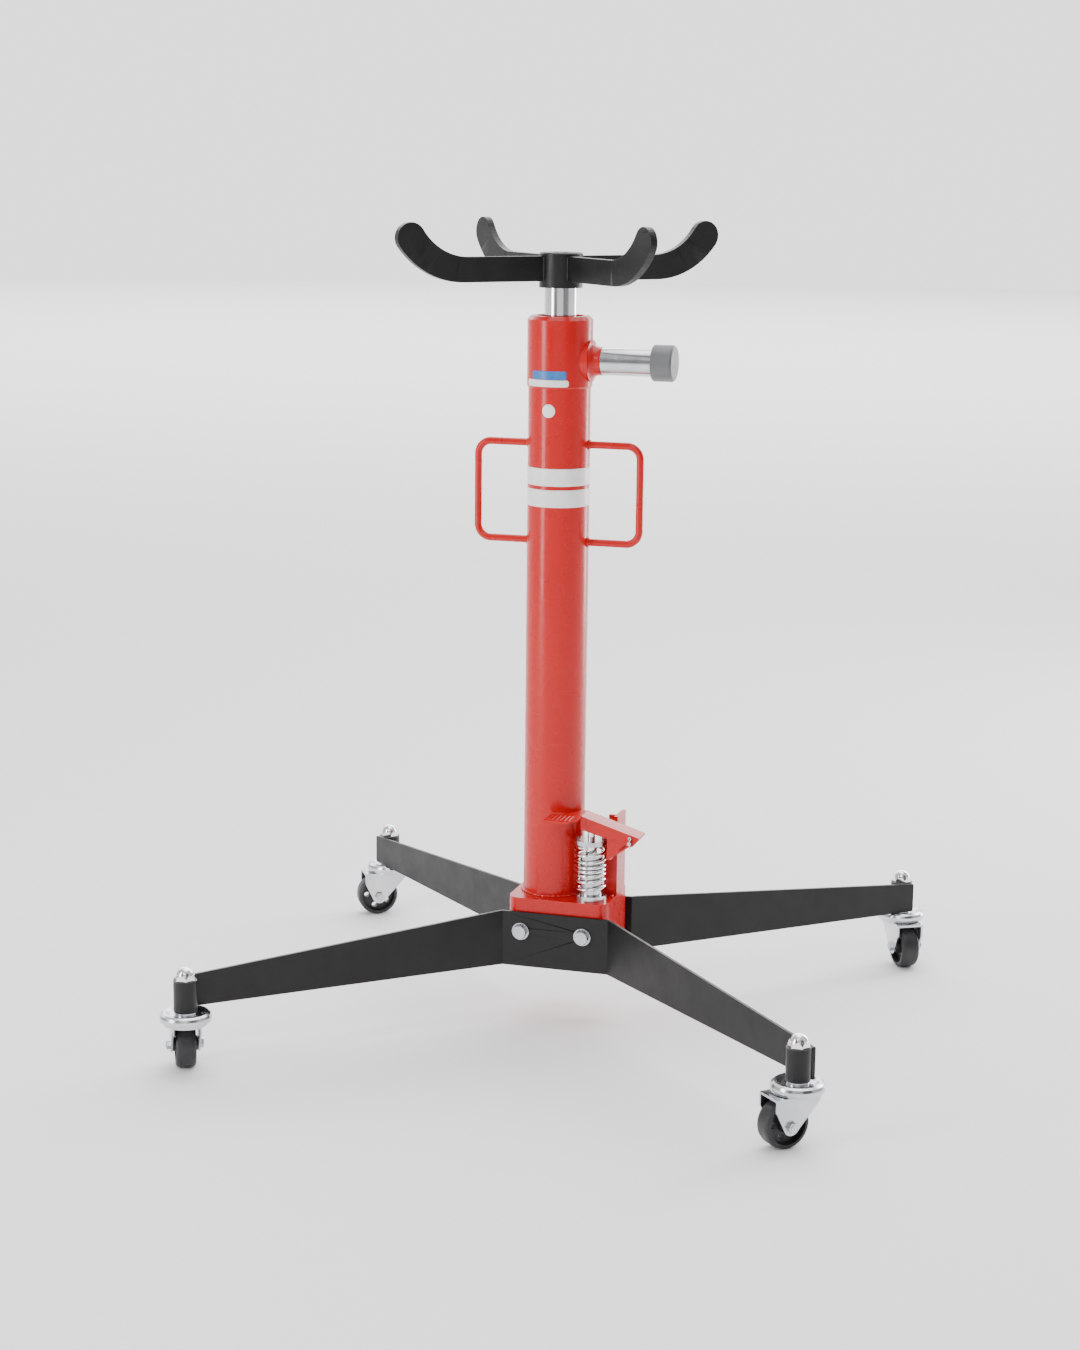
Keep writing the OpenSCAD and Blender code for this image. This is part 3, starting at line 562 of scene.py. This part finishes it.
def add_socket_welds():
    """Two upright beads where each stem socket is let into its leg plate."""
    lean = math.radians(LEG_ANGLE)
    plate_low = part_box("front_leg_plate")[0].z
    for corner, sx, sy in (("fl", -1, -1), ("fr", 1, -1), ("bl", -1, 1), ("br", 1, 1)):
        stem = center_of("caster_stem_" + corner)
        along = Vector((sx * math.cos(lean), sy * math.sin(lean), 0))
        outward = Vector((-sx * math.sin(lean), sy * math.cos(lean), 0))
        for name, side in (("inner", -1), ("outer", 1)):
            middle = Vector((stem.x, stem.y, plate_low + 0.002))
            foot = middle - outward * SOCKET_SINK + along * side * SOCKET_CHORD
            head = foot + Vector((0, 0, SOCKET_WELD_LENGTH))
            path = line_path(foot, head, 34)
            weld_bead(f"weld_socket_{corner}_{name}", path, 0.0017, "base", BLACK)


def add_saddle_welds():
    """Two upright beads where each arm meets the hub."""
    low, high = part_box("saddle_hub")
    axis = center_of("saddle_hub")
    hub_r = (high.x - low.x) / 2
    for corner, turn in (("fl", 225), ("fr", 315), ("bl", 135), ("br", 45)):
        out = Vector((math.cos(math.radians(turn)), math.sin(math.radians(turn)), 0))
        across = Vector((-out.y, out.x, 0))
        for name, side in (("a", -1), ("b", 1)):
            middle = Vector((axis.x, axis.y, low.z + ARM_WELD_RAISE))
            foot = middle + out * (hub_r - 0.0004) + across * side * (ARM_HALF_THICKNESS + 0.0004)
            head = foot + Vector((0, 0, ARM_WELD_LENGTH))
            path = line_path(foot, head, 30)
            weld_bead(f"weld_arm_{corner}_{name}", path, 0.0021, "saddle", BLACK)


def add_spring():
    """Return spring of the pump: round wire with closed end turns."""
    low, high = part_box("pump_spring")
    axis = center_of("spring_cap")
    wire_r = SPRING_WIRE_RADIUS
    coil_r = (high.x - low.x) / 2 - wire_r
    count = int(SPRING_TURNS * SPRING_STEPS)
    rise = (high.z - low.z) - 2 * wire_r
    path = []
    for k in range(count + 1):
        share = k / count
        eased = share - SPRING_CLOSED_ENDS * math.sin(2 * math.pi * (share - 0.5))
        angle = 2 * math.pi * SPRING_TURNS * share + SPRING_START
        path.append(Vector((axis.x + coil_r * math.cos(angle), axis.y + coil_r * math.sin(angle),
                            low.z + wire_r + rise * eased)))
    points, faces = sweep(path, [wire_r] * len(path), False, sides=12)
    spring = mesh_piece("return_spring", points, faces, "base", CHROME)
    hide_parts("pump_spring")
    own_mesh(spring)


def add_pedal_ribs():
    """Anti-slip ribs across the foot pad."""
    low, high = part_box("pedal")
    for k in range(RIB_COUNT):
        x = low.x + 0.005 + RIB_PITCH * k
        near = Vector((x, low.y + 0.004, high.z))
        far = Vector((x, low.y + 0.033, high.z))
        radii = [RIB_END_RADIUS] + [RIB_RADIUS] * 10 + [RIB_END_RADIUS]
        points, faces = sweep(line_path(near, far, 12), radii, False, sides=10)
        mesh_piece(f"pad_rib_{k}", points, faces, "foot_pedal", RED)


add_camera()
add_studio()
dress_nodes()
add_bands()
add_welds()
add_bracket_weld()
add_socket_welds()
add_saddle_welds()
add_spring()
add_pedal_ribs()
